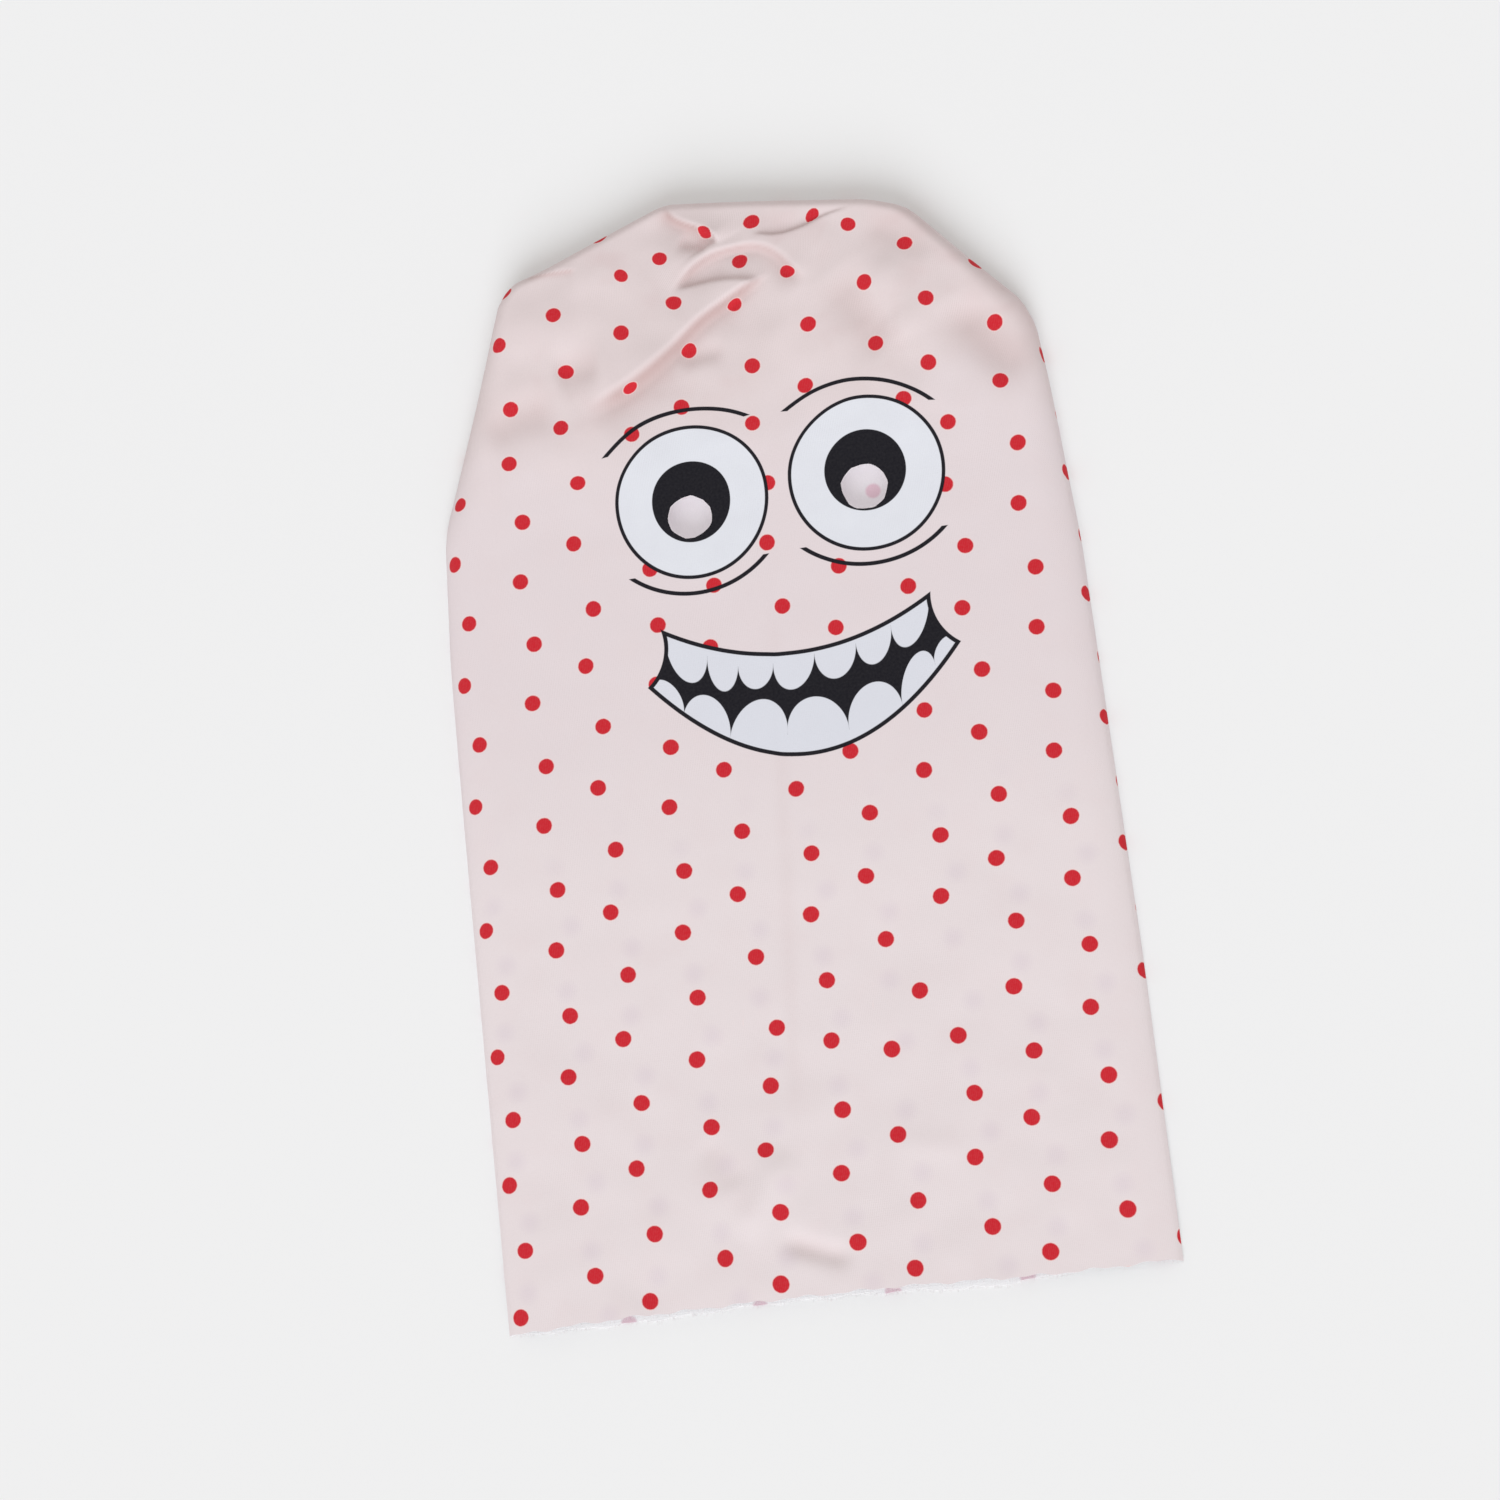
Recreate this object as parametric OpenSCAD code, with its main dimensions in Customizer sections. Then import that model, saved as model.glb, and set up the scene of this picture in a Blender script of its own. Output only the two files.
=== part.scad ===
// Bag puppet sewn from two panels of thin printed jersey, lying face up on a table.
// X runs across the bag, Y from the hem to the crown, Z up from the table.
// The origin is on the table, under the middle of the bag.
// Each panel is one piece of cloth. It is cut across here where the bag bends over the hand.

/* [Cloth] */
// Thickness of each panel
cloth = 0.8; // [0.6:0.1:1.2]
// Width of the seam along the sides and the crown
seam_w = 4; // [3:0.5:6]
// Height of the seam between the two panels
seam_h = 0.9; // [0.6:0.1:1.1]

/* [Loft] */
// Height of the front panel over the skirt
skirt_h = 7.5; // [6.5:0.5:10]
// Height of the front panel over the stuffed crown
crown_h = 22; // [18:1:28]
// Height of the front panel's cut edge above the table
edge_h = 2.6; // [2.6:0.1:3.2]
// Distance over which the skirt rises from its side seams
side_run = 18; // [14:1:22]
// Distance over which the crown rises from its edge
crown_run = 17; // [14:1:22]

/* [Joints] */
// Place along the bag of the line that the head nods about
nod_y = -20; // [-30:1:-10]
// Length of the neck, between the nod line and the line that the skirt lifts about
neck_l = 14; // [10:1:20]
// Gap between neighbouring cuts of the front panel, and of the back panel
cut_gap = 0.5; // [0.4:0.1:0.8]

/* [Eyes] */
// Radius of the two holes cut through the pupils
eye_r = 8; // [6:0.5:9]

/* [Hidden] */

hem_y = -200;
crown_y = 200;
left_shoulder_y = 174;
right_shoulder_y = 146;
lift_y = nod_y - neck_l;
eye_places = [[-21, 79], [42, 80]];

// Half-outlines of the flat bag, as the distance along it and the edge's place across it.
left_side = [[-200, -114], [-10, -115], [40, -114.5], [90, -111], [104, -103], [137, -93],
    [174, -83], [179, -78], [182, -64], [190, -43], [200, -17]];
right_side = [[-200, 113.5], [-100, 115], [52, 115], [113, 111], [138, 109], [146, 104],
    [160, 87], [182, 70], [188, 57], [195, 14], [200, -15]];
// The crown's edge, as the place across the bag and the distance along it.
crown_edge = [[-83, 174], [-78, 179], [-64, 182], [-43, 190], [-17, 200], [14, 195], [57, 188],
    [70, 182], [87, 160], [104, 146]];
// Height of the front panel along the middle of the bag.
loft = [[-200, skirt_h], [nod_y, skirt_h], [40, 10.5], [80, 15], [130, crown_h - 1],
    [160, crown_h], [200, crown_h]];

function left_x(y) = lookup(y, left_side);
function right_x(y) = lookup(y, right_side);
function edge_y(x) = x < -83 || x > 104 ? crown_y : lookup(x, crown_edge);

// A quarter-round rise from 0 at the edge to 1 at the given run.
function rise(d, run) = sqrt(1 - pow(1 - min(1, max(0, d) / run), 2));

// The run of the rise widens from the skirt's to the crown's.
function run_at(y) = lookup(y, [[0, side_run], [120, crown_run]]);

function top_z(x, y) =
    let (across = min(x - left_x(y), right_x(y) - x))
    edge_h + (lookup(y, loft) - edge_h) * rise(across, run_at(y)) * rise(edge_y(x) - y, crown_run);

// Shares of the width at which the front panel's grid has its columns.
columns = [0, 0.012, 0.03, 0.055, 0.085, 0.15, 0.25, 0.37, 0.5, 0.63, 0.75, 0.85, 0.915, 0.945,
    0.97, 0.988, 1];

function grid(ys) = [for (y = ys) [for (f = columns)
    let (x = left_x(y) + f * (right_x(y) - left_x(y))) [x, y, top_z(x, y)]]];

// A shell of the cloth's thickness that hangs below a grid of points.
module shell(ys) {
    top = grid(ys);
    rows = len(ys);
    cols = len(columns);
    n = rows * cols;
    points = concat([for (r = top) for (p = r) p],
        [for (r = top) for (p = r) [p.x, p.y, p.z - cloth]]);
    function at(i, j) = i * cols + j;
    faces = concat(
        [for (i = [0:rows - 2]) for (j = [0:cols - 2]) [at(i, j), at(i + 1, j), at(i + 1, j + 1)]],
        [for (i = [0:rows - 2]) for (j = [0:cols - 2]) [at(i, j), at(i + 1, j + 1), at(i, j + 1)]],
        [for (i = [0:rows - 2]) for (j = [0:cols - 2])
            [n + at(i, j), n + at(i + 1, j + 1), n + at(i + 1, j)]],
        [for (i = [0:rows - 2]) for (j = [0:cols - 2])
            [n + at(i, j), n + at(i, j + 1), n + at(i + 1, j + 1)]],
        [for (j = [0:cols - 2]) [at(0, j), at(0, j + 1), n + at(0, j + 1), n + at(0, j)]],
        [for (j = [0:cols - 2]) [at(rows - 1, j + 1), at(rows - 1, j),
            n + at(rows - 1, j), n + at(rows - 1, j + 1)]],
        [for (i = [0:rows - 2]) [at(i + 1, 0), at(i, 0), n + at(i, 0)]],
        [for (i = [0:rows - 2]) [at(i + 1, 0), n + at(i, 0), n + at(i + 1, 0)]],
        [for (i = [0:rows - 2]) [at(i, cols - 1), at(i + 1, cols - 1), n + at(i + 1, cols - 1)]],
        [for (i = [0:rows - 2]) [at(i, cols - 1), n + at(i + 1, cols - 1), n + at(i, cols - 1)]]);
    polyhedron(points, faces, convexity = 8);
}

// Outline of the bag between two distances along it.
function outline(y0, y1) = concat(
    [[left_x(y0), y0]], [for (p = left_side) if (p[0] > y0 && p[0] < y1) [p[1], p[0]]],
    [[left_x(y1), y1], [right_x(y1), y1]],
    [for (i = [len(right_side) - 1:-1:0]) if (right_side[i][0] > y0 && right_side[i][0] < y1)
        [right_side[i][1], right_side[i][0]]],
    [[right_x(y0), y0]]);

module back_panel(y0, y1) linear_extrude(cloth) polygon(outline(y0, y1));

// A band of stitching along one side, lying on the back panel.
module side_band(side, into, y0, y1) {
    ys = concat([y0], [for (p = side) if (p[0] > y0 && p[0] < y1) p[0]], [y1]);
    translate([0, 0, cloth]) linear_extrude(seam_h) polygon(concat(
        [for (y = ys) [lookup(y, side), y]],
        [for (i = [len(ys) - 1:-1:0]) [lookup(ys[i], side) + into * seam_w, ys[i]]]));
}

module back_panel_skirt() {
    color("lavenderblush") back_panel(hem_y, nod_y - cut_gap / 2);
}

module back_panel_head() {
    color("lavenderblush") back_panel(nod_y + cut_gap / 2, crown_y);
}

module front_panel_skirt() {
    color("mistyrose") shell([hem_y, -160, -120, -80, lift_y - cut_gap / 2]);
}

module front_panel_neck() {
    color("mistyrose") shell([lift_y + cut_gap / 2, nod_y - cut_gap / 2]);
}

module front_panel_head() {
    color("mistyrose") difference() {
        shell([nod_y + cut_gap / 2, 0, 20, 40, 60, 80, 90, 100, 112, 125, 138, 146, 153, 160, 167,
            174, 179, 184, 188, 192, 196, 200]);
        for (place = eye_places)
            translate([place.x, place.y, edge_h]) cylinder(h = 2 * crown_h, r = eye_r, $fn = 48);
    }
}

module left_seam_skirt() {
    color("pink") side_band(left_side, 1, hem_y, nod_y - cut_gap / 2);
}

module right_seam_skirt() {
    color("pink") side_band(right_side, -1, hem_y, nod_y - cut_gap / 2);
}

module left_seam_head() {
    color("pink") side_band(left_side, 1, nod_y + cut_gap / 2, left_shoulder_y - seam_w);
}

module right_seam_head() {
    color("pink") side_band(right_side, -1, nod_y + cut_gap / 2, right_shoulder_y - seam_w);
}

// The crown's band follows the crown's edge, moved in towards the middle of the head.
module crown_seam() {
    middle = [0, 90];
    function inward(p) = p + (middle - p) * seam_w / norm(middle - p);
    color("pink") translate([0, 0, cloth]) linear_extrude(seam_h) polygon(concat(
        crown_edge, [for (i = [len(crown_edge) - 1:-1:0]) inward(crown_edge[i])]));
}

back_panel_skirt();
back_panel_head();
front_panel_skirt();
front_panel_neck();
front_panel_head();
left_seam_skirt();
right_seam_skirt();
left_seam_head();
right_seam_head();
crown_seam();
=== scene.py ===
import math

import bmesh
import bpy
import numpy as np
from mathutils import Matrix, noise


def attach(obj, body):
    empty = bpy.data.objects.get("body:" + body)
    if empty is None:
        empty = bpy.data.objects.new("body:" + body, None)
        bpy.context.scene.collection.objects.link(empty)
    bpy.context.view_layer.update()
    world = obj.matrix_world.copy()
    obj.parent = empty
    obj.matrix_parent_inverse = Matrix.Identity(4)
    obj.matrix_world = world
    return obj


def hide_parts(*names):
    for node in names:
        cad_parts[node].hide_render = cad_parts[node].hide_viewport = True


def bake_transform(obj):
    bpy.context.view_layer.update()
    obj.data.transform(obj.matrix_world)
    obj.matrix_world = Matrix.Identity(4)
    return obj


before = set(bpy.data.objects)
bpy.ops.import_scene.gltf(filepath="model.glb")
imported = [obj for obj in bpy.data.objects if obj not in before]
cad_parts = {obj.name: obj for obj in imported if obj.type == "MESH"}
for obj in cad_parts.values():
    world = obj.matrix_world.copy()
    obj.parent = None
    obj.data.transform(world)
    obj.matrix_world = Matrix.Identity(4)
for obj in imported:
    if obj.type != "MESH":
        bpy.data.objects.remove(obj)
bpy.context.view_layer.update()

# The front panel's shape. It is one cut of thin cotton jersey, laid face up, with soft stuffing
# holding up its crown. Its sides and crown turn down to the seams, and its hem is a raw cut.
# All sizes are in millimetres until a mesh is made. An edge is given as places along and across.
mm = 0.001
left_edge = [(-200, -114), (-10, -115), (40, -115), (90, -113), (107, -107), (137, -97), (160, -89.5),
             (174, -85)]
right_edge = [(-200, 113.5), (-100, 115), (52, 115), (113, 112), (138, 110), (146, 105.5)]
shoulders = (174, 146)
crown_edge = [(-85, 174), (-80, 182), (-66, 186), (-45, 194), (-18, 204), (14, 199.5), (57, 192.5),
              (71, 187), (89, 165), (105.5, 146)]
front_hem = [(-115, -197.8), (-60, -196.4), (-30, -196), (10, -197.4), (60, -198.6), (115, -199.7)]
lift_line = -34
loft = [(-200, 4), (-100, 6), (-34, 7.5), (20, 8), (60, 8.8), (90, 9.5), (120, 12), (165, 15), (200, 16)]
edge_rise = 1.1
cloth = 0.45
columns = 210


def eased(points, at, radius):
    """The broken line through points, read at a place and rounded over a radius."""
    before, value = np.array(points, float).T
    reach = np.minimum(radius, np.minimum(at - before[0], before[-1] - at).clip(0))
    return np.mean([np.interp(at + reach * k, before, value) for k in np.linspace(-1, 1, 9)], axis=0)


def grid(left, right, low, high, across, up):
    """Points that fill the space between four edges, each a function of the share along it."""
    s, t = np.meshgrid(across, up)
    corner = [[left(0), right(0)], [left(1), right(1)]]
    points = []
    for axis in (0, 1):
        edges = ((1 - s) * left(t)[axis] + s * right(t)[axis]
                 + (1 - t) * low(s)[axis] + t * high(s)[axis])
        corners = ((1 - t) * ((1 - s) * corner[0][0][axis] + s * corner[0][1][axis])
                   + t * ((1 - s) * corner[1][0][axis] + s * corner[1][1][axis]))
        points.append(edges - corners)
    return points


def side(points, low, high):
    """One side edge of the panel between two places along it."""
    return lambda t: (eased(points, low + (high - low) * t, 6), low + (high - low) * t)


def level(points, low, high):
    """One edge that runs across the panel, between two places across it."""
    return lambda s: (low + (high - low) * s, eased(points, low + (high - low) * s, 4))


def rounded(route):
    """A route of a few points with its corners cut, so that it bends smoothly."""
    route = np.array(route, float)
    for _ in range(3):
        cut = np.empty((2 * len(route) - 2, 2))
        cut[0::2] = 0.75 * route[:-1] + 0.25 * route[1:]
        cut[1::2] = 0.25 * route[:-1] + 0.75 * route[1:]
        route = np.vstack([route[:1], cut, route[-1:]])
    return route


def beside(x, y, route):
    """Distance from a route, above 0 on its left, and the share of it that is passed."""
    best = np.full(np.shape(x), 1e9)
    signed, share = best.copy(), best.copy()
    steps = np.hypot(*np.diff(route, axis=0).T)
    passed = np.concatenate([[0], np.cumsum(steps)])
    for k, ((ax, ay), (bx, by)) in enumerate(zip(route[:-1], route[1:])):
        ux, uy = (bx - ax) / steps[k], (by - ay) / steps[k]
        at = ((x - ax) * ux + (y - ay) * uy).clip(0, steps[k])
        off_x, off_y = x - ax - at * ux, y - ay - at * uy
        far = np.hypot(off_x, off_y)
        nearer = far < best
        best = np.where(nearer, far, best)
        signed = np.where(nearer, far * np.where(off_y * ux - off_x * uy < 0, -1, 1), signed)
        share = np.where(nearer, (passed[k] + at) / passed[-1], share)
    return signed, share


def smooth(low, high, value):
    t = ((value - low) / (high - low)).clip(0, 1)
    return t * t * (3 - 2 * t)


outline = np.array([(eased(left_edge, y, 6), y) for y in np.linspace(-260, 174, 90)]
                   + [(x, eased(crown_edge, x, 4)) for x in np.linspace(-84, 104.5, 90)]
                   + [(eased(right_edge, y, 6), y) for y in np.linspace(146, -260, 90)])

# Each overlap is a wall of cloth: its route has the higher layer on its left. Then come the wall's
# width at each end, how far the cloth rises and dips beside it, how far that fades, the
# length of cloth that the wall hides, and how much shade is painted into the colour along it.
overlaps = [
    dict(route=[(-56, 124), (-45, 129), (-34, 134), (-22, 142), (-9, 152.5), (4, 159.5), (19, 167)],
         wall=(8, 2.2), rise=2.2, dip=2.4, fade=15, hides=5.5, dark=0.72),
    dict(route=[(-19, 165), (-11, 172), (-3.6, 176.5), (7, 178), (14, 178), (21, 174), (26, 167), (31, 160)],
         wall=(1.4, 5), rise=1.5, dip=1.6, fade=9, hides=3.5, dark=0.5),
    dict(route=[(16, 164), (7, 166), (-2, 167.5), (-17, 166.5)],
         wall=(4, 3), rise=0.9, dip=0.8, fade=7, hides=1.0, dark=0.2),
    dict(route=[(-18, 200), (-16, 194.5), (-11, 190.8), (-6, 188.3), (-0.5, 183.5), (1, 180)],
         wall=(4.5, 1.4), rise=1.8, dip=1.8, fade=9, hides=3, dark=0.75),
    dict(route=[(52, 187), (40, 185.4), (32, 181.9), (22, 180.3), (13, 183)],
         wall=(1.2, 1.6), rise=0.7, dip=0.8, fade=8, hides=2, dark=0.25),
    dict(route=[(-73, 181), (-62, 180.5), (-52, 180)],
         wall=(1.2, 1.6), rise=1.1, dip=0.9, fade=9, hides=2.0, dark=0.6),
]
# Soft hollows (below 0) and ridges: route, height and half-width. A hollow also gets shade painted
# into the colour, more as it is deeper.
hollows = [
    ([(40, 164), (46, 154), (52, 142), (60, 132)], -1.9, 9),
    ([(83, 148), (90, 133), (98, 124), (112, 114)], -2.6, 9),
    ([(-66, 141), (-57, 143), (-46, 143)], -1.6, 7),
    ([(-20, 139), (-10, 141), (0, 141)], -1.2, 4),
    ([(-96, 122), (-80, 128), (-62, 130)], -1.7, 8),
    ([(-92, 160), (-70, 160), (-50, 156)], 1.2, 10),
    ([(55, 168), (62, 150), (66, 132)], 1.4, 9),
    ([(7, 77), (4, 28), (1, -23), (-5, -97), (-10, -165)], -0.5, 2.5),
    ([(-11, -147), (-21, -161), (-33, -177)], 1.2, 6),
    ([(-20, -176), (-7, -182), (8, -187)], -1.5, 3.6),
    ([(-42, -140), (-34, -150), (-30, -160)], -0.8, 6),
    ([(20, -150), (34, -152), (50, -156)], 0.5, 5),
    ([(-20, 169), (-8, 170), (6, 173)], -0.8, 5.5),
    ([(-14, 186), (-8, 183), (-2, 182)], -1.6, 3.5),
    ([(20, 190), (40, 190), (56, 187)], 0.8, 4),
    ([(52, 184), (66, 176), (80, 164)], -1.6, 8),
]
# Where the stuffing pulls the cloth out of line: the place, the print's shift, and the reach.
pulls = [((48, 181), (2.4, -1.3), 12), ((36, 188), (-2, 1), 9), ((14, 188), (-3.4, 3.6), 12),
         ((68, 170), (2.8, -1.6), 12), ((-21.5, 180), (3.6, 4.6), 12), ((7.6, 174), (1.2, 2.2), 9),
         ((25, 167), (1.2, 1.3), 10), ((-36, 175), (-2, -1), 9), ((73, 147), (1.6, -1.6), 13),
         ((-18, 161), (-1.2, 2.6), 9), ((-62, 164), (-2, 0.9), 12), ((96, 134), (2.1, -0.7), 12),
         ((-38, 153), (-1.3, 0.8), 10), ((-84, 157), (-0.8, -2.4), 12), ((-17, -168), (1.4, -2), 18)]


def lie(x, y):
    """Height of the front cloth at each place, where on the flat cloth that is, and how much shade is painted
    into its folds.
    """
    inward = -beside(x, y, outline)[0]
    run = np.interp(y, [-200, 90, 135, 165], [14, 13, 11, 7])
    turn = np.sqrt(1 - (1 - (inward / run).clip(0, 1)) ** 2)
    high = eased(loft, y.clip(-200, 200), 12)
    angle = np.arcsin(1 - (inward / run).clip(0, 1))
    around = angle * np.mean([np.hypot(run * np.cos(angle * k), (high - edge_rise) * np.sin(angle * k))
                              for k in np.linspace(0.05, 0.95, 10)], axis=0) - run * np.sin(angle)
    out_x = (inward + beside(x + 0.5, y, outline)[0]) / 0.5
    out_y = (inward + beside(x, y + 0.5, outline)[0]) / 0.5
    fold = np.zeros_like(x)
    fold_shade = np.zeros_like(x)
    middle = smooth(-22, 5, x)
    right = smooth(12, 42, x)
    taken_left = np.interp(y, [90, 110, 132, 148, 170, 190], [0, 1.5, 2.2, 3.0, 3.6, 6])
    taken_middle = np.interp(y, [90, 111, 132, 155, 173, 190], [0, 1.1, 1.4, 1.6, 3.2, 6])
    taken_right = np.interp(y, [168, 178, 190], [0, 1.0, 2.5])
    taken = (taken_left * (1 - middle) + taken_middle * middle) * (1 - right) + taken_right * right
    u = x + around * out_x
    v = y + around * out_y + taken + np.interp(y, [-200, -34, 20, 60, 95], [0.2, 1.8, 1.9, 1.4, 0.2])
    for one in overlaps:
        route = rounded(one["route"])
        q, share = beside(x, y, route)
        width = one["wall"][0] + (one["wall"][1] - one["wall"][0]) * share
        ends = smooth(0, 0.2, share) * smooth(1, 0.85, share)
        climb = smooth(-0.5, 0.5, q / width)
        fade = np.exp(-(np.abs(q) / one["fade"]) ** 1.5)
        fold += ends * fade * (one["rise"] * climb - one["dip"] * (1 - climb))
        ahead = route[-1] - route[0]
        ahead /= np.hypot(*ahead)
        # Painted shade along the fold: a narrow band on the higher layer's side of the wall, a wider one
        # below it.
        near_side, far_side = np.exp(-(q / width / 0.25) ** 2), np.exp(-np.abs(q / width / 0.8) ** 1.4)
        fold_shade += one["dark"] * ends * np.where(q > 0, near_side, far_side)
        slip = ends * fade * one["hides"] * (climb - 0.5)
        u -= slip * ahead[1]
        v += slip * ahead[0]
    for route, height, width in hollows:
        q, share = beside(x, y, rounded(route))
        ends = smooth(0, 0.3, share) * smooth(1, 0.7, share)
        fold += height * ends * np.exp(-(q / width) ** 2)
        # Painted shade in each hollow, more where it is deeper.
        fold_shade -= 0.11 * height * ends * np.exp(-(q / width) ** 2)
    for (at_x, at_y), (shift_u, shift_v), reach in pulls:
        near = np.exp(-((x - at_x) ** 2 + (y - at_y) ** 2) / reach ** 2)
        u += shift_u * near
        v += shift_v * near
    wide, fine = 34, 13
    rumple = np.array([noise.noise((a / wide, b / wide, 3)) + 0.5 * noise.noise((a / fine, b / fine, 7))
                       for a, b in zip(x.flat, y.flat)]).reshape(x.shape)
    fold += rumple * np.interp(y, [-200, -60, -20, 90, 140, 200], [0.8, 0.35, 0.1, 0.3, 1.3, 1.3])
    z = edge_rise + (high - edge_rise) * turn + fold * smooth(0, 16, inward)
    return z, u, v, fold_shade


# The printed cloth, in cloth coordinates: a white jersey dyed pale pink, with red spots in
# slightly uneven columns, and a face in black line. The knit's columns are 0.62 mm apart. Its
# pink is painted darker towards the crown and in its folds, as shade.
class Wire:
    """A value in a node tree. Sums on it add Math nodes."""

    def __init__(self, tree, socket):
        self.tree, self.socket = tree, socket

    def __add__(self, other):
        return self.tree.math("ADD", self, other)

    def __sub__(self, other):
        return self.tree.math("SUBTRACT", self, other)

    def __rsub__(self, other):
        return self.tree.math("SUBTRACT", other, self)

    def __mul__(self, other):
        return self.tree.math("MULTIPLY", self, other)

    def __truediv__(self, other):
        return self.tree.math("DIVIDE", self, other)

    def __abs__(self):
        return self.tree.math("ABSOLUTE", self)

    __radd__, __rmul__ = __add__, __mul__


class Nodes:
    """A node tree that is being built, for a material or for geometry."""

    def __init__(self, tree):
        self.tree = tree
        tree.nodes.clear()

    def node(self, kind, settings=(), inputs=(), out=0):
        made = self.tree.nodes.new(kind)
        for name, value in dict(settings).items():
            setattr(made, name, value)
        for name, value in dict(inputs).items():
            if isinstance(value, Wire):
                self.tree.links.new(value.socket, made.inputs[name])
            else:
                made.inputs[name].default_value = value
        return Wire(self, made.outputs[out]) if len(made.outputs) else made

    def math(self, operation, *values):
        return self.node("ShaderNodeMath", {"operation": operation}, dict(enumerate(values)))

    def vector(self, operation, *values, out=0):
        return self.node("ShaderNodeVectorMath", {"operation": operation}, dict(enumerate(values)), out)

    def least(self, *values):
        found = values[0]
        for value in values[1:]:
            found = self.math("MINIMUM", found, value)
        return found

    def most(self, *values):
        found = values[0]
        for value in values[1:]:
            found = self.math("MAXIMUM", found, value)
        return found

    def mix(self, share, plain, dyed):
        return self.node("ShaderNodeMix", {"data_type": "RGBA"}, {0: share, 6: plain, 7: dyed}, 2)

    def held(self, value):
        return self.node("ShaderNodeClamp", (), {0: value})

    def ink(self, distance, soft=0.22):
        """1 inside a printed edge and 0 outside it, given the distance out from the edge in mm."""
        return self.held(0.5 - distance / soft)

    def ramp(self, value, low, high):
        return self.node("ShaderNodeMapRange", {"interpolation_type": "SMOOTHSTEP"},
                         {0: value, 1: low, 2: high})

    def noise(self, place, scale, detail=2.0, rough=0.5):
        return self.node("ShaderNodeTexNoise", (), {"Vector": place, "Scale": scale, "Detail": detail,
                                                    "Roughness": rough})


def dye(red, green, blue):
    """A colour read off a display, 0 to 255, as the shader's linear one."""
    return tuple(c / 12.92 if c <= 0.04045 else ((c + 0.055) / 1.055) ** 2.4
                 for c in (red / 255, green / 255, blue / 255)) + (1.0,)


def ring(nodes, place, centre, half):
    """Distance out from an oval's edge."""
    off = nodes.vector("SUBTRACT", place, (*centre, 0))
    long = nodes.vector("LENGTH", nodes.vector("DIVIDE", off, (*half, 1)), out=1)
    return (long - 1) * (sum(half) / 2)


def circle(start, over, end):
    """The centre and radius of the circle through three points."""
    a, b, c = (complex(*p) for p in (start, over, end))
    w = (c - a) / (b - a)
    centre = a + (b - a) * (w - abs(w) ** 2) / (w - w.conjugate())
    return np.array([centre.real, centre.imag]), abs(a - centre)


def arc(nodes, place, start, over, end, width):
    """Distance out from a drawn line that bends through three points."""
    centre, radius = circle(start, over, end)
    middle = (np.array(start) + end) / 2 - centre
    middle /= np.hypot(*middle)
    off = nodes.vector("SUBTRACT", place, (*centre, 0))
    around = abs(nodes.vector("LENGTH", off, out=1) - radius) - width / 2
    along = nodes.vector("DOT_PRODUCT", off, (*middle, 0), out=1)
    return nodes.most(around, (start - centre) @ middle - along)


def bow(nodes, x, y, low_x, low_y, bend):
    """Distance above a lip: a line that bows as the square of the distance from its lowest point."""
    from_low = x - low_x
    fall = y - low_y - from_low * from_low * bend
    slope = from_low * (2 * bend)
    return fall / nodes.math("SQRT", slope * slope + 1)


def tooth(nodes, place, left, tip, right):
    """Distance out from a tooth: a round tip between two notches, and all that is behind it."""
    left, tip, right = (np.array(p, float) for p in (left, tip, right))
    root = (left + right) / 2
    across, out = np.linalg.inv(np.array([(right - left) / 2, tip - root]).T)
    off = nodes.vector("SUBTRACT", place, (*root, 0))
    t = abs(nodes.vector("DOT_PRODUCT", off, (*across, 0), out=1))
    o = nodes.vector("DOT_PRODUCT", off, (*out, 0), out=1)
    t = nodes.most(t + nodes.least(o, 0.0) * 0.5, 0.0)
    o = nodes.most(o, 0.0)
    reach = min(np.hypot(*(right - left)) / 2, np.hypot(*(tip - root)))
    return (nodes.math("SQRT", t * t + o * o) - 1) * reach


knit_column, knit_row = 0.62, 0.8
spot_gap = 22.5
spot_size = 2.85
spot_rows = [(-109.25, -191.75), (-105.35, -169.55), (-82.05, -181.0), (-84.75, -157.4)]
# Spots that stand out of line: near which place the pattern has one, and where it is printed instead.
moved_spots = [((-15, -102), (-11, -105)), ((30, -102), (39, -99)), ((26, -124), (27, -117.5)),
               ((5, -113), (7, -112)), ((53, -112), (50, -116)), ((50, 113), (60, 111.5)),
               ((-40, 68), (-37.5, 65)), ((-60, 55), (-59.5, 53.5)), ((5, 203), (11, 197)),
               ((30, 190), (35, 190)), ((53, 179), (51, 180)), ((-15, 190), (-18, 188.5)),
               ((-3, 193), (-3.5, 193.5)), ((-15, 145), (-13.5, 144)), ((53, 156), (52, 157)),
               ((-40, 113), (-38.5, 116)), ((53, -91), (39, -99)), ((-60, 190), (-63.5, 196.5)),
               ((-40, 203), (-43, 199)), ((-82, 179), (-80.5, 182)), ((95, 158), (93.5, 160))]
pink = dye(228, 217, 218)
face_shaded_pink = dye(225, 213, 215)
crown_shaded_pink = dye(221, 207, 207)
patchy_shade_pink = dye(215, 195, 195)
red = dye(200, 32, 44)
halo = dye(243, 218, 214)
black = dye(26, 25, 31)
white = dye(226, 228, 234)
eyes = [((-19.9, 87.4), (27.2, 28.1), (-20.1, 87.0), (14.2, 15.1)),
        ((43.5, 87.2), (27.5, 27.6), (43.2, 88.0), (14.6, 14.6))]
lines = [((-49.5, 108.9), (-22, 121.9), (3.6, 115.9)), ((17, 115.3), (39.5, 121.9), (70.1, 109.4)),
         ((-44.5, 62.3), (-21.5, 53.5), (4.5, 63.7)), ((17.8, 63.8), (44.2, 54.3), (68.6, 63.8))]
mouth_corners = [((-35, 40), (-36, 30), (-42.4, 21.3)), ((59.7, 41), (60.7, 31), (67, 22))]
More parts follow.
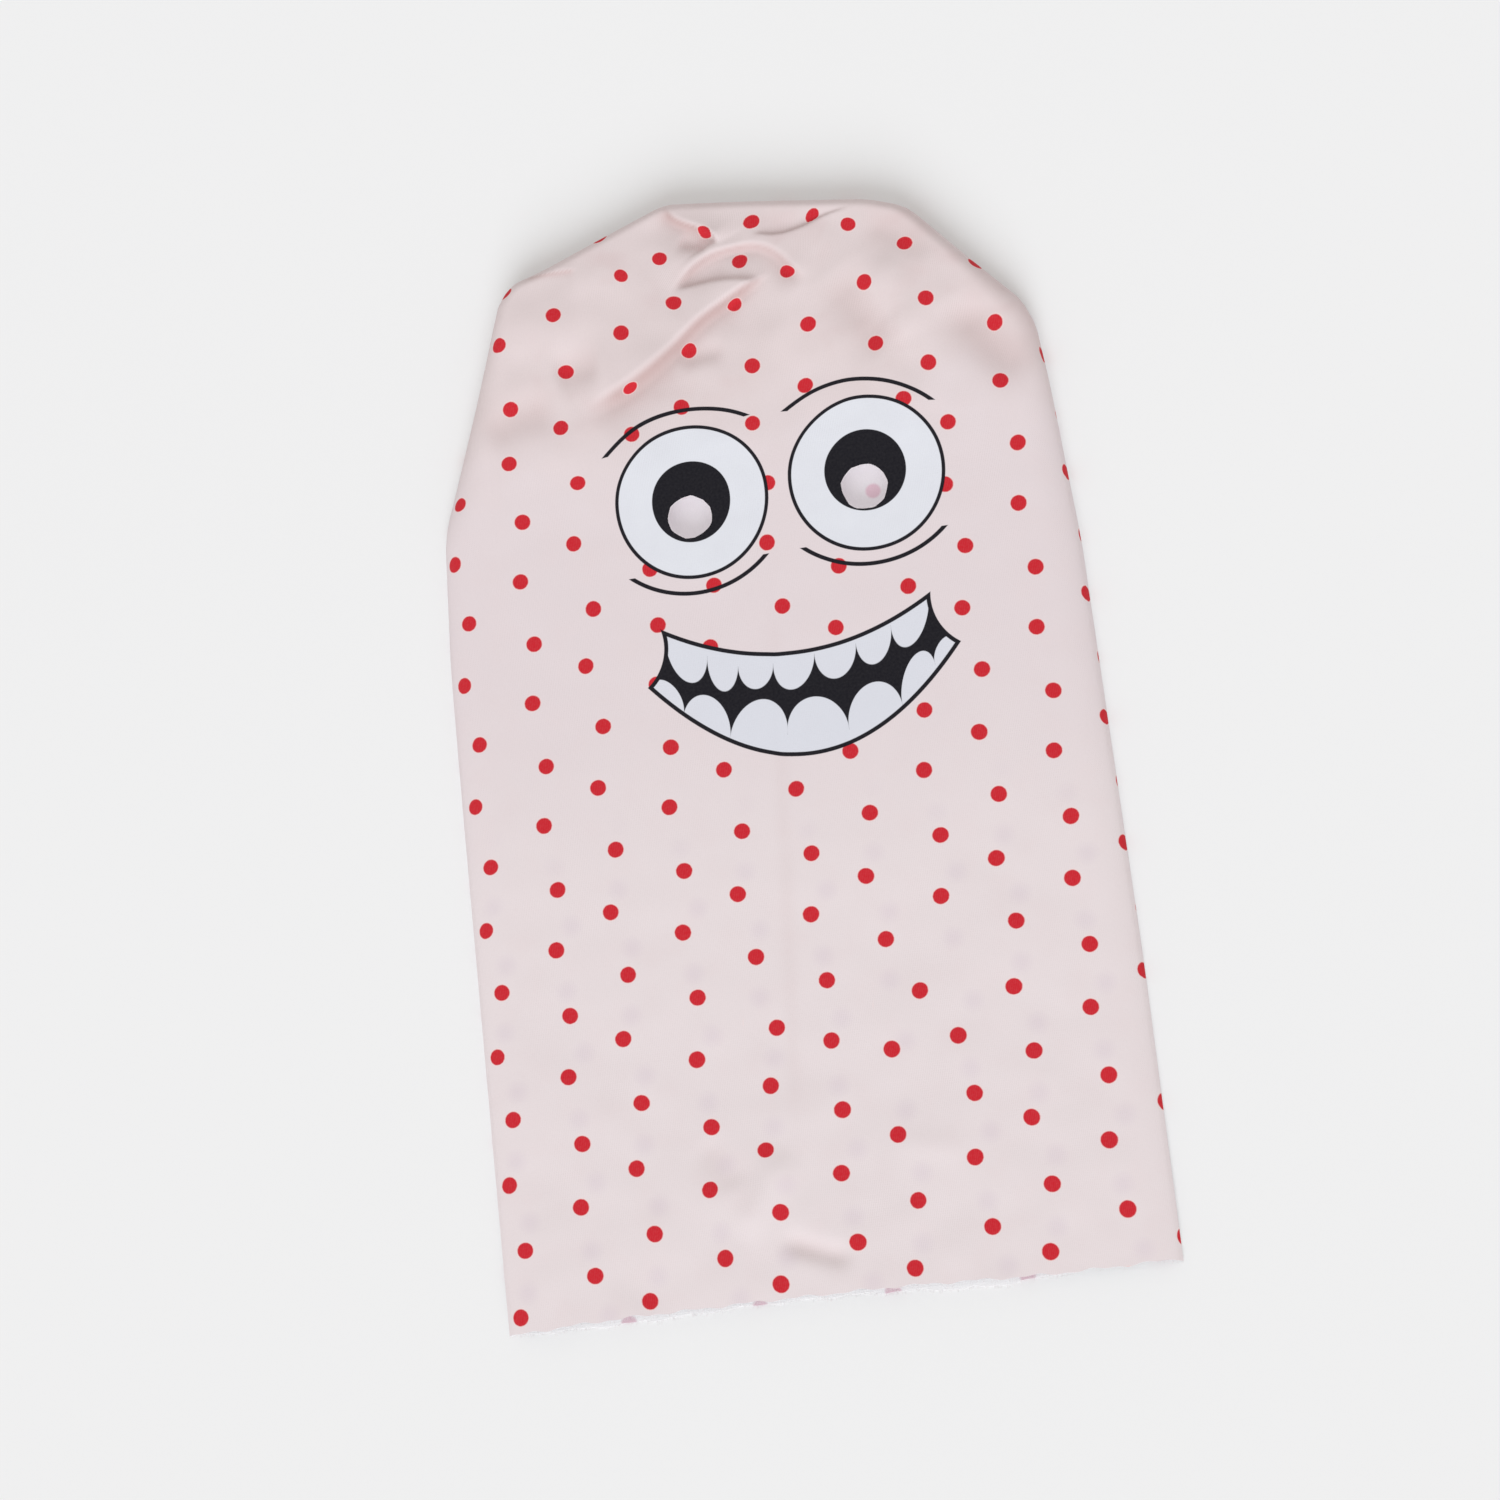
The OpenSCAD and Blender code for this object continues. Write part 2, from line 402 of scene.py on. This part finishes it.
upper_notches = [(-34.8, 38.8), (-20.6, 30), (-10.1, 24.6), (2.3, 23.8), (17.2, 25), (32.1, 26.4), (45.1, 31),
                 (59.6, 39.8)]
upper_tips = [(-28.8, 22.0), (-16.8, 16.7), (-4.6, 15.5), (8.6, 13.4), (24.2, 15), (38.8, 18.3), (52, 23.2)]
lower_notches = [(-42.2, 21.5), (-31.4, 9.7), (-15.9, -1.4), (4.5, -2.5), (26.2, -4), (45.7, 1.8),
                 (58.8, 14.6), (66.8, 22.4)]
lower_tips = [(-34.4, 21.8), (-20.6, 15), (-3.2, 11.5), (15.4, 9.6), (35, 11.3), (51.2, 18.3), (61.6, 22.6)]


def spots(nodes, place, rows=spot_rows, moved=()):
    """Distance from the middle of the nearest printed spot."""
    size = (spot_gap, spot_gap, 1e6)
    low = tuple(-side for side in size)
    offs = [nodes.vector("WRAP", nodes.vector("SUBTRACT", place, (*row, 0)), size, low) for row in rows]
    near = nodes.least(*(nodes.vector("LENGTH", off, out=1) for off in offs))
    for pattern_place, printed_place in moved:
        away = nodes.vector("DISTANCE", place, (*pattern_place, 0), out=1)
        near = near + nodes.ink(away - 7, 0.5) * 20
        near = nodes.least(near, nodes.vector("DISTANCE", place, (*printed_place, 0), out=1))
    return near


def jersey(name, face, inside):
    """The cloth's material: its printed side, with or without the face, or its unprinted inside."""
    material = bpy.data.materials.new(name)
    material.use_nodes = True
    nodes = Nodes(material.node_tree)
    flat = nodes.node("ShaderNodeUVMap", {"uv_map": "cloth"})
    wander = nodes.vector("SUBTRACT", nodes.node("ShaderNodeTexNoise", (), {
        "Vector": flat, "Scale": 0.05, "Detail": 1.0}, 1), (0.5, 0.5, 0.5))
    place = nodes.vector("ADD", flat, nodes.vector("MULTIPLY", wander, (0.9, 0.9, 0)))
    x, y = (nodes.node("ShaderNodeSeparateXYZ", (), {0: flat}, k) for k in (0, 1))
    column = nodes.math("SINE", x * (2 * math.pi / knit_column))
    fuzz = nodes.noise(flat, 1.1, 3.0, 0.6)
    cloud = nodes.noise(flat, 0.03, 3.0, 0.55)
    # Painted shade: the pink darkens going up, through the face to the crown, along a cloudy edge.
    crown = nodes.ramp(y + (cloud - 0.5) * 60, 84, 138)
    body = nodes.mix(nodes.ramp(y + (cloud - 0.5) * 60, -60, 40), pink, face_shaded_pink)
    body = nodes.mix(crown, body, crown_shaded_pink)
    # Painted shade in cloudy patches over the top of the crown.
    shade_patches = nodes.ramp(cloud, 0.5, 0.7) * nodes.ramp(y, 110, 140)
    body = nodes.mix(shade_patches * 0.6, body, patchy_shade_pink)
    body = nodes.mix(nodes.ramp(nodes.noise(flat, 0.09, 2.0), 0.4, 0.75) * 0.22, body, dye(226, 211, 212))
    # Painted shade: the stored fold shade darkens the colour towards a dusky pink.
    shade = nodes.node("ShaderNodeAttribute", {"attribute_name": "painted_fold_shade"}, (), 2)
    body = nodes.mix(nodes.held(shade), body, dye(183, 152, 148))
    if inside:
        # Painted shade: the inside is white by the raw hem and darker everywhere else inside the bag.
        body = nodes.mix(nodes.ramp(y, -194, -187), dye(243, 242, 243), dye(225, 221, 224))
        ghost = nodes.ink(spots(nodes, nodes.vector("ADD", flat, (8.55, 6.4, 0))) - 2.7, 0.9)
        body = nodes.mix(ghost * 0.75, body, dye(213, 174, 188))
    else:
        behind = spots(nodes, nodes.vector("MULTIPLY_ADD", flat, (-1, 1, 1), (-7.75, 2.9, 0)))
        ghost = nodes.ink(behind - 3, 3.5) * nodes.ramp(y, -10, -60)
        body = nodes.mix(ghost * 0.28, body, dye(211, 196, 206))
        near = spots(nodes, place, moved=moved_spots) + (fuzz - 0.5) * 0.25
        body = nodes.mix(nodes.ink(near - spot_size - 0.35, 0.5) * 0.5, body, halo)
        worn = nodes.mix(nodes.held(column * 0.10 + (fuzz - 0.5) * 0.3 + 0.06), red, dye(214, 96, 102))
        body = nodes.mix(nodes.ink(near - spot_size, 0.4), body, worn)
    if face:
        cool = nodes.mix(nodes.noise(flat, 0.12, 2.0), white, dye(221, 222, 229))
        mouth = nodes.most(bow(nodes, x, y, 13.2, 26.5, 0.0061), 0 - bow(nodes, x, y, 13.0, -10.5, 0.0107),
                           *(0 - ring(nodes, flat, centre, (radius, radius))
                             for centre, radius in (circle(*corner) for corner in mouth_corners)),
                           abs(x - 12.2) - 56)
        teeth = nodes.least(*(tooth(nodes, flat, notches[k], tips[k], notches[k + 1])
                              for notches, tips in ((upper_notches, upper_tips), (lower_notches, lower_tips))
                              for k in range(len(tips))))
        enamel = nodes.mix(0.6, cool, dye(214, 215, 224))
        body = nodes.mix(nodes.ink(mouth), body, nodes.mix(nodes.ink(teeth), black, enamel))
        drawn = nodes.least(abs(mouth) - 0.75, *(arc(nodes, flat, *line, 1.5) for line in lines))
        for centre, half, pupil, pupil_half in eyes:
            round_eye = ring(nodes, flat, centre, half)
            body = nodes.mix(nodes.ink(round_eye), body, cool)
            drawn = nodes.least(drawn, abs(round_eye) - 0.65, ring(nodes, flat, pupil, pupil_half))
        body = nodes.mix(nodes.ink(drawn), body, black)
    body = nodes.mix(nodes.held((fuzz - 0.35) * 0.03), body, dye(244, 240, 240))
    weave = column * 0.5 + nodes.math("SINE", y * (2 * math.pi / knit_row) + column * 1.2) * 0.25 + fuzz
    bump = nodes.node("ShaderNodeBump", (), {"Strength": 0.35, "Distance": 0.00012, "Height": weave})
    # Painted light: the unprinted inside glows with a fifth of its own colour, from none by the hem to full
    # higher up, for light that comes through the thin cloth into the bag.
    dull = (0, 0, 0, 1)
    through = nodes.mix(nodes.ramp(y, -185, -120) * 0.21, dull, body if inside else dull)
    shader = nodes.node("ShaderNodeBsdfPrincipled", (), {
        "Base Color": body, "Roughness": nodes.held(0.86 + (fuzz - 0.5) * 0.2), "Normal": bump,
        "Specular IOR Level": 0.1, "Sheen Weight": 0.04, "Sheen Roughness": 0.5,
        "Emission Color": through, "Emission Strength": 1.0 if inside else 0.0})
    nodes.node("ShaderNodeOutputMaterial", (), {"Surface": shader})
    return material


printed_front = jersey("jersey_printed_front", face=True, inside=False)
white_inside = jersey("jersey_inside", face=False, inside=True)


def sheet_mesh(name, x, y, z, u, v, fold_shade, materials, thickness, face_up=True):
    """A piece of cloth from a grid of places and heights, with its flat coordinates."""
    rows, across = x.shape
    points = np.stack([x, y, z], -1).reshape(-1, 3) * mm
    k = np.arange(rows * across).reshape(rows, across)
    faces = np.stack([k[:-1, :-1], k[:-1, 1:], k[1:, 1:], k[1:, :-1]], -1).reshape(-1, 4)
    if not face_up:
        faces = faces[:, ::-1]
    mesh = bpy.data.meshes.new(name)
    mesh.from_pydata(points.tolist(), [], faces.tolist())
    mesh.uv_layers.new(name="cloth").data.foreach_set(
        "uv", np.stack([u, v], -1).reshape(-1, 2)[faces.ravel()].ravel())
    mesh.polygons.foreach_set("use_smooth", np.ones(len(faces), bool))
    # The shade painted into the folds, kept on each point for the material.
    if fold_shade is not None:
        shade_values = mesh.attributes.new("painted_fold_shade", "FLOAT", "POINT").data
        shade_values.foreach_set("value", fold_shade.ravel().astype(np.float32))
    for material in materials:
        mesh.materials.append(material)
    piece = bpy.data.objects.new(name, mesh)
    bpy.context.scene.collection.objects.link(piece)
    piece["thickness"] = thickness
    return piece


def snip(piece, centre, radius, cuts, seed):
    """Cuts a hole with scissors: a ring of short straight cuts, none quite the same."""
    rng = np.random.default_rng(seed)
    turn = np.linspace(0, 2 * math.pi, cuts + 1)[:-1] + rng.uniform(-0.1, 0.1, cuts)
    reach = radius * (1 + rng.uniform(-0.035, 0.035, cuts))
    corner = np.stack([centre[0] + reach * np.cos(turn), centre[1] + reach * np.sin(turn)], -1)
    corner = np.vstack([corner, corner[:1]])

    def out(co):
        return -beside(np.array([co.x / mm]), np.array([co.y / mm]), corner)[0][0]

    mesh = bmesh.new()
    mesh.from_mesh(piece.data)
    near = [v for v in mesh.verts
            if math.hypot(v.co.x / mm - centre[0], v.co.y / mm - centre[1]) < radius + 4]
    far = {v: out(v.co) for v in near}
    fresh = []
    for edge in sorted({e for v in near for e in v.link_edges}, key=lambda e: e.index):
        a, b = edge.verts
        if a in far and b in far and far[a] * far[b] < 0:
            share = far[a] / (far[a] - far[b])
            fresh.append(bmesh.utils.edge_split(edge, a, share)[1])
    bmesh.ops.connect_verts(mesh, verts=fresh)
    bmesh.ops.delete(mesh, geom=[v for v in near if far[v] < 0], context="VERTS")
    mesh.to_mesh(piece.data)
    mesh.free()
    return corner[::-1]


def thicken(piece):
    """Gives the cloth its thickness, away from its outer face, and makes it a plain mesh."""
    wall = piece.modifiers.new("thickness", "SOLIDIFY")
    wall.thickness = piece["thickness"] * mm
    wall.offset = -1
    wall.material_offset = 1
    wall.material_offset_rim = 1
    evaluated = piece.evaluated_get(bpy.context.evaluated_depsgraph_get())
    solid = bpy.data.meshes.new_from_object(evaluated, preserve_all_data_layers=True,
                                            depsgraph=bpy.context.evaluated_depsgraph_get())
    piece.modifiers.clear()
    solid.set_sharp_from_angle(angle=math.radians(55))
    piece.data = solid
    del piece["thickness"]


def ragged(x):
    """How far a raw cut edge wanders."""
    return 0.35 * np.sin(x / 3.1) + 0.25 * np.sin(x / 1.37 + 1) + 0.4 * np.sin(x / 17)


# Front panel, above the neck: crown, face and eye holes. The holes are cut
# right through both pupils with scissors, and nothing finishes their edges.
neck_line = level([(-120, lift_line), (120, lift_line)], eased(left_edge, lift_line, 6),
                  eased(right_edge, lift_line, 6))
across = np.linspace(0, 1, columns + 1)
up = np.linspace(0, 1, 191)
up = 1.45 * up - 0.45 * up ** 2
x, y = grid(side(left_edge, lift_line, shoulders[0]), side(right_edge, lift_line, shoulders[1]),
            neck_line,
            level(crown_edge, -85, 105.5), across, up)
z, u, v, fold_shade = lie(x, y)
front_head = sheet_mesh("front_panel_crown", x, y, z, u, v, fold_shade, (printed_front, white_inside), cloth)
eye_holes = [snip(front_head, (-21.2, 80.4), 8.0, 17, 3), snip(front_head, (42.2, 81.5), 8.4, 15, 5)]
thicken(front_head)

# Front panel, below the neck: the same cloth, as two halves that meet along the middle. Its hem
# is a raw cut.
up = np.linspace(0, 1, 112)
x, y = grid(side(left_edge, -198, lift_line), side(right_edge, -198, lift_line),
            lambda s: (eased(left_edge, -198, 6) * (1 - s) + eased(right_edge, -198, 6) * s,
                       eased(front_hem, -114.5 + 229 * s, 8) + ragged(229 * s)),
            neck_line, across, up)
z, u, v, fold_shade = lie(x, y)
half = columns // 2
front_left = sheet_mesh("front_panel_skirt_left", *(a[:, :half + 1] for a in (x, y, z, u, v, fold_shade)),
                        (printed_front, white_inside), cloth)
front_right = sheet_mesh("front_panel_skirt_right", *(a[:, half:] for a in (x, y, z, u, v, fold_shade)),
                         (printed_front, white_inside), cloth)
middle_x = x[-1, half]
hem_line = np.stack([x[0], y[0], z[0] - 0.2], -1)
for piece in (front_left, front_right):
    thicken(piece)

# Back panel: the same jersey, printed with spots and no face, lying flat on the table. It is cut to
# the front's outline, and its hem hangs a little past the front's.
printed_back = jersey("jersey_printed_back", face=False, inside=False)
up = np.linspace(0, 1, 201)
x, y = grid(side(left_edge, -199, shoulders[0]), side(right_edge, -199, shoulders[1]),
            lambda s: (eased(left_edge, -199, 6) * (1 - s) + eased(right_edge, -199, 6) * s,
                       -197.6 - 2.6 * np.exp(-((s - 0.74) / 0.12) ** 2) + ragged(229 * s + 40)),
            level(crown_edge, -85, 105.5), np.linspace(0, 1, 116), up)
back = sheet_mesh("back_panel", x, y, np.full_like(x, 0.02), x, y, None, (printed_back, white_inside),
                  cloth, face_up=False)
thicken(back)

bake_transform(front_head)
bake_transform(back)
middle_x * mm
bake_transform(front_left)
middle_x * mm
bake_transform(front_right)
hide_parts("front_panel_head", "front_panel_neck")
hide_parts("front_panel_skirt")
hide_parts("front_panel_skirt")
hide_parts("back_panel_skirt", "back_panel_head")

# Seams: both panels' edges are turned in together, laid flat inside the bag, and bound by a
# machine with loops of polyester overlock thread. They run up both sides and over the crown.
seam_width, seam_inset = 4, 2.8
seam_height, seam_thickness = 1.0, 0.9
stitch_pitch = 2.2
thread_radius = 0.14


def coloured(name, colours, scale, rough):
    """Thread or cut cloth: two near shades, and fine twisted strands."""
    material = bpy.data.materials.new(name)
    material.use_nodes = True
    nodes = Nodes(material.node_tree)
    place = nodes.node("ShaderNodeTexCoord", (), (), 3)
    strand = nodes.noise(place, scale, 3.0, 0.6)
    bump = nodes.node("ShaderNodeBump", (), {"Strength": 0.4, "Distance": 0.0001, "Height": strand})
    shader = nodes.node("ShaderNodeBsdfPrincipled", (), {
        "Base Color": nodes.mix(strand, dye(*colours[0]), dye(*colours[1])),
        "Roughness": nodes.held(strand * 0.3 + rough), "Normal": bump})
    nodes.node("ShaderNodeOutputMaterial", (), {"Surface": shader})
    return material


thread_white = coloured("overlock_thread", ((238, 230, 231), (214, 200, 203)), 2500, 0.55)
cut_cloth = coloured("turned_in_cloth", ((232, 222, 223), (222, 206, 208)), 900, 0.8)


def line_piece(name, route, height):
    """A line of edges to sew or to fray, from places in millimetres."""
    mesh = bpy.data.meshes.new(name)
    points = [(x * mm, y * mm, height * mm) for x, y in route]
    mesh.from_pydata(points, [(k, k + 1) for k in range(len(points) - 1)], [])
    piece = bpy.data.objects.new(name, mesh)
    bpy.context.scene.collection.objects.link(piece)
    return piece


def pattern(name, sizes, material_names):
    """An empty Geometry Nodes tree with its named sizes, and the way to fill it."""
    tree = bpy.data.node_groups.new(name, "GeometryNodeTree")
    nodes = Nodes(tree)
    tree.interface.new_socket("Geometry", in_out="INPUT", socket_type="NodeSocketGeometry")
    for size in sizes:
        tree.interface.new_socket(size, in_out="INPUT", socket_type="NodeSocketFloat")
    for material in material_names:
        tree.interface.new_socket(material, in_out="INPUT", socket_type="NodeSocketMaterial")
    tree.interface.new_socket("Geometry", in_out="OUTPUT", socket_type="NodeSocketGeometry")
    source = tree.nodes.new("NodeGroupInput")
    return tree, nodes, {socket.name: Wire(nodes, socket) for socket in source.outputs if socket.name}


def made_by(piece, tree, values):
    """Runs a pattern on a line, and leaves the result as a plain mesh."""
    work = piece.modifiers.new(tree.name, "NODES")
    work.node_group = tree
    for socket in tree.interface.items_tree:
        if socket.in_out == "INPUT" and socket.name in values:
            work[socket.identifier] = values[socket.name]
    graph = bpy.context.evaluated_depsgraph_get()
    solid = bpy.data.meshes.new_from_object(piece.evaluated_get(graph), preserve_all_data_layers=True,
                                            depsgraph=graph)
    piece.modifiers.clear()
    piece.data = solid
    return piece


overlock, nodes, size = pattern("overlock", ("Width", "Ply", "Pitch", "Thread"), ("Cloth", "Yarn"))
seam = nodes.node("GeometryNodeSetCurveNormal", {"mode": "Z_UP"}, {0: nodes.node(
    "GeometryNodeMeshToCurve", (), {0: size["Geometry"]})})
flat_edge = nodes.node("GeometryNodeCurvePrimitiveQuadrilateral", {"mode": "RECTANGLE"},
                       {"Width": size["Width"], "Height": size["Ply"]})
plies = nodes.node("GeometryNodeCurveToMesh", (), {"Curve": seam, "Profile Curve": flat_edge,
                                                   "Fill Caps": True})
loop = nodes.node("GeometryNodeCurvePrimitiveCircle", {"mode": "RADIUS"}, {"Resolution": 14, "Radius": 1.0})
girth = nodes.node("ShaderNodeCombineXYZ", (), {
    0: size["Width"] * 0.5 + size["Thread"] * 2, 1: 1.0, 2: size["Ply"] * 0.5 + size["Thread"] * 1.5})
loop = nodes.node("GeometryNodeTransform", (), {"Geometry": loop, "Rotation": (math.pi / 2, 0, 0)})
loop = nodes.node("GeometryNodeTransform", (), {"Geometry": loop, "Scale": girth})
loop = nodes.node("GeometryNodeTransform", (), {"Geometry": loop, "Rotation": (0, 0, 0.24)})
yarn = nodes.node("GeometryNodeCurvePrimitiveCircle", {"mode": "RADIUS"},
                  {"Resolution": 4, "Radius": size["Thread"]})
loop = nodes.node("GeometryNodeCurveToMesh", (), {"Curve": loop, "Profile Curve": yarn})
places = nodes.node("GeometryNodeResampleCurve", {"mode": "LENGTH"}, {"Curve": seam, "Length": size["Pitch"]})
turned = nodes.node("FunctionNodeAlignRotationToVector", {"axis": "Y", "pivot_axis": "Z"},
                    {"Vector": nodes.node("GeometryNodeInputTangent")})
loops = nodes.node("GeometryNodeInstanceOnPoints", (), {
    "Points": places, "Instance": loop, "Rotation": turned})
loops = nodes.node("GeometryNodeRealizeInstances", (), {0: loops})
loops = nodes.node("GeometryNodeSetMaterial", (), {"Geometry": loops, "Material": size["Yarn"]})
plies = nodes.node("GeometryNodeSetMaterial", (), {"Geometry": plies, "Material": size["Cloth"]})
joined = overlock.nodes.new("GeometryNodeJoinGeometry")
for part in (plies, loops):
    overlock.links.new(part.socket, joined.inputs[0])
sewn = nodes.node("GeometryNodeRealizeInstances", (), {0: Wire(nodes, joined.outputs[0])})
nodes.node("NodeGroupOutput", (), {"Geometry": sewn})

sizes = {"Width": seam_width * mm, "Ply": seam_thickness * mm, "Pitch": stitch_pitch * mm,
         "Thread": thread_radius * mm, "Cloth": cut_cloth, "Yarn": thread_white}
side_rows = np.linspace(-196.5, 168, 120)
left_seam = line_piece("left_seam", [(eased(left_edge, y, 6) + seam_inset, y)
                                     for y in side_rows], seam_height)
right_seam = line_piece("right_seam", [(eased(right_edge, y, 6) - seam_inset, y)
                                       for y in side_rows[side_rows < 141]], seam_height)
crown_seam = line_piece("crown_seam", [(x, eased(crown_edge, x, 4) - seam_inset)
                                       for x in np.linspace(-78, 99, 90)], seam_height)
for seam_piece in (left_seam, right_seam, crown_seam):
    made_by(seam_piece, overlock, sizes)
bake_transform(left_seam)
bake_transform(right_seam)
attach(crown_seam, "head")
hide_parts("left_seam_skirt", "left_seam_head")
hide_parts("right_seam_skirt", "right_seam_head")
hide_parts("crown_seam")

# Fray along the raw hems and round the eye holes: short ends of the jersey's cotton, which stand
# out of the cut edge.
fibre_white = coloured("loose_cotton", ((244, 240, 240), (232, 222, 224)), 1500, 0.8)
fray, nodes, size = pattern("fray", ("Spacing", "Length", "Fibre"), ("Yarn",))
edge = nodes.node("GeometryNodeResampleCurve", {"mode": "LENGTH"}, {
    "Curve": nodes.node("GeometryNodeMeshToCurve", (), {0: size["Geometry"]}), "Length": size["Spacing"]})
hair = nodes.node("GeometryNodeCurveQuadraticBezier", (), {
    "Resolution": 5, "Start": (0, 0, 0), "Middle": (0.35, -0.5, 0.3), "End": (-0.15, -1.0, 0.05)})
length = nodes.node("ShaderNodeCombineXYZ", (), {0: size["Length"], 1: size["Length"], 2: size["Length"]})
hair = nodes.node("GeometryNodeTransform", (), {"Geometry": hair, "Scale": length})
yarn = nodes.node("GeometryNodeCurvePrimitiveCircle", {"mode": "RADIUS"},
                  {"Resolution": 3, "Radius": size["Fibre"]})
hair = nodes.node("GeometryNodeCurveToMesh", (), {"Curve": hair, "Profile Curve": yarn, "Fill Caps": True})
tilt = nodes.node("FunctionNodeRandomValue", {"data_type": "FLOAT_VECTOR"}, {
    0: (-0.35, -1.2, -0.9), 1: (0.15, 1.2, 0.9), 8: 4})
tall = nodes.node("FunctionNodeRandomValue", {"data_type": "FLOAT"}, {
    2: 0.25, 3: 1.0, 8: 9}, 1)
edge_turn = nodes.node("FunctionNodeAlignRotationToVector", {"axis": "X", "pivot_axis": "Z"},
                       {"Vector": nodes.node("GeometryNodeInputTangent")})
turned = nodes.node("FunctionNodeRotateRotation", {"rotation_space": "LOCAL"}, {
    "Rotation": edge_turn, "Rotate By": nodes.node("FunctionNodeEulerToRotation", (), {0: tilt})})
hairs = nodes.node("GeometryNodeInstanceOnPoints", (), {
    "Points": edge, "Instance": hair, "Rotation": turned, "Scale": tall})
hairs = nodes.node("GeometryNodeRealizeInstances", (), {0: hairs})
hairs = nodes.node("GeometryNodeSetMaterial", (), {"Geometry": hairs, "Material": size["Yarn"]})
nodes.node("NodeGroupOutput", (), {"Geometry": hairs})

fibres = {"Spacing": 0.4 * mm, "Length": 1.5 * mm, "Fibre": 0.045 * mm, "Yarn": fibre_white}
for number, corner in enumerate(eye_holes):
    piece = line_piece("eye_hole_fray_%d" % (number + 1), corner, 0)
    heights = lie(corner[:, 0], corner[:, 1])[0] - 0.2
    for vertex, height in zip(piece.data.vertices, heights):
        vertex.co.z = height * mm
    made_by(piece, fray, dict(fibres, Length=0.9 * mm, Spacing=0.3 * mm))
    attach(piece, "head")
for name, part, outer in (("left", hem_line[:half + 1], -0.115), ("right", hem_line[half:], 0.115)):
    piece = line_piece("front_hem_fray_" + name, part[:, :2], 0)
    for vertex, height in zip(piece.data.vertices, part[:, 2]):
        vertex.co.z = height * mm
    made_by(piece, fray, fibres)
    middle_x * mm
    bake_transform(piece)
back_fray = line_piece("back_hem_fray", [(a, b) for a, b in zip(x[0], y[0])], 0.3)
made_by(back_fray, fray, fibres)
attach(back_fray, "skirt")

# A plain pale table under even room light, with a broad soft light low on the hem side, which
# throws the crown's shadow away from the hem, and the camera above the bag.
floor_mesh = bpy.data.meshes.new("table")
floor_mesh.from_pydata([(-6, -6, 0), (6, -6, 0), (6, 6, 0), (-6, 6, 0)], [], [(0, 1, 2, 3)])
table = bpy.data.objects.new("table", floor_mesh)
bpy.context.scene.collection.objects.link(table)
paint = bpy.data.materials.new("pale_paint")
paint.use_nodes = True
nodes = Nodes(paint.node_tree)
grain = nodes.noise(nodes.node("ShaderNodeTexCoord", (), (), 3), 3.0)
shader = nodes.node("ShaderNodeBsdfPrincipled", (), {
    "Base Color": nodes.mix(grain, (0.86, 0.86, 0.86, 1), (0.85, 0.85, 0.85, 1)), "Roughness": 0.9,
    "Specular IOR Level": 0.1})
nodes.node("ShaderNodeOutputMaterial", (), {"Surface": shader})
floor_mesh.materials.append(paint)

scene = bpy.context.scene
scene.view_settings.view_transform = "Standard"
world = bpy.data.worlds.new("room")
scene.world = world
world.use_nodes = True
world.node_tree.nodes["Background"].inputs["Color"].default_value = (1.01, 0.99, 0.97, 1)
world.node_tree.nodes["Background"].inputs["Strength"].default_value = 0.69
lamp = bpy.data.lights.new("softbox", "SUN")
lamp.angle = math.radians(38)
lamp.energy = 1.87
lamp.color = (0.96, 1.0, 1.05)
softbox = bpy.data.objects.new("softbox", lamp)
softbox.location = (0.8, -2.5, 3.4)
softbox.rotation_euler = (math.radians(56), 0, math.radians(-6))
scene.collection.objects.link(softbox)

lens = bpy.data.cameras.new("camera")
lens.lens = 68.5
lens.sensor_width = 36
camera = bpy.data.objects.new("camera", lens)
camera.location = (0.11645, -0.2753, 0.9599)
camera.rotation_euler = (math.radians(14.641), math.radians(9.197), math.radians(-6.271))
scene.collection.objects.link(camera)
scene.camera = camera
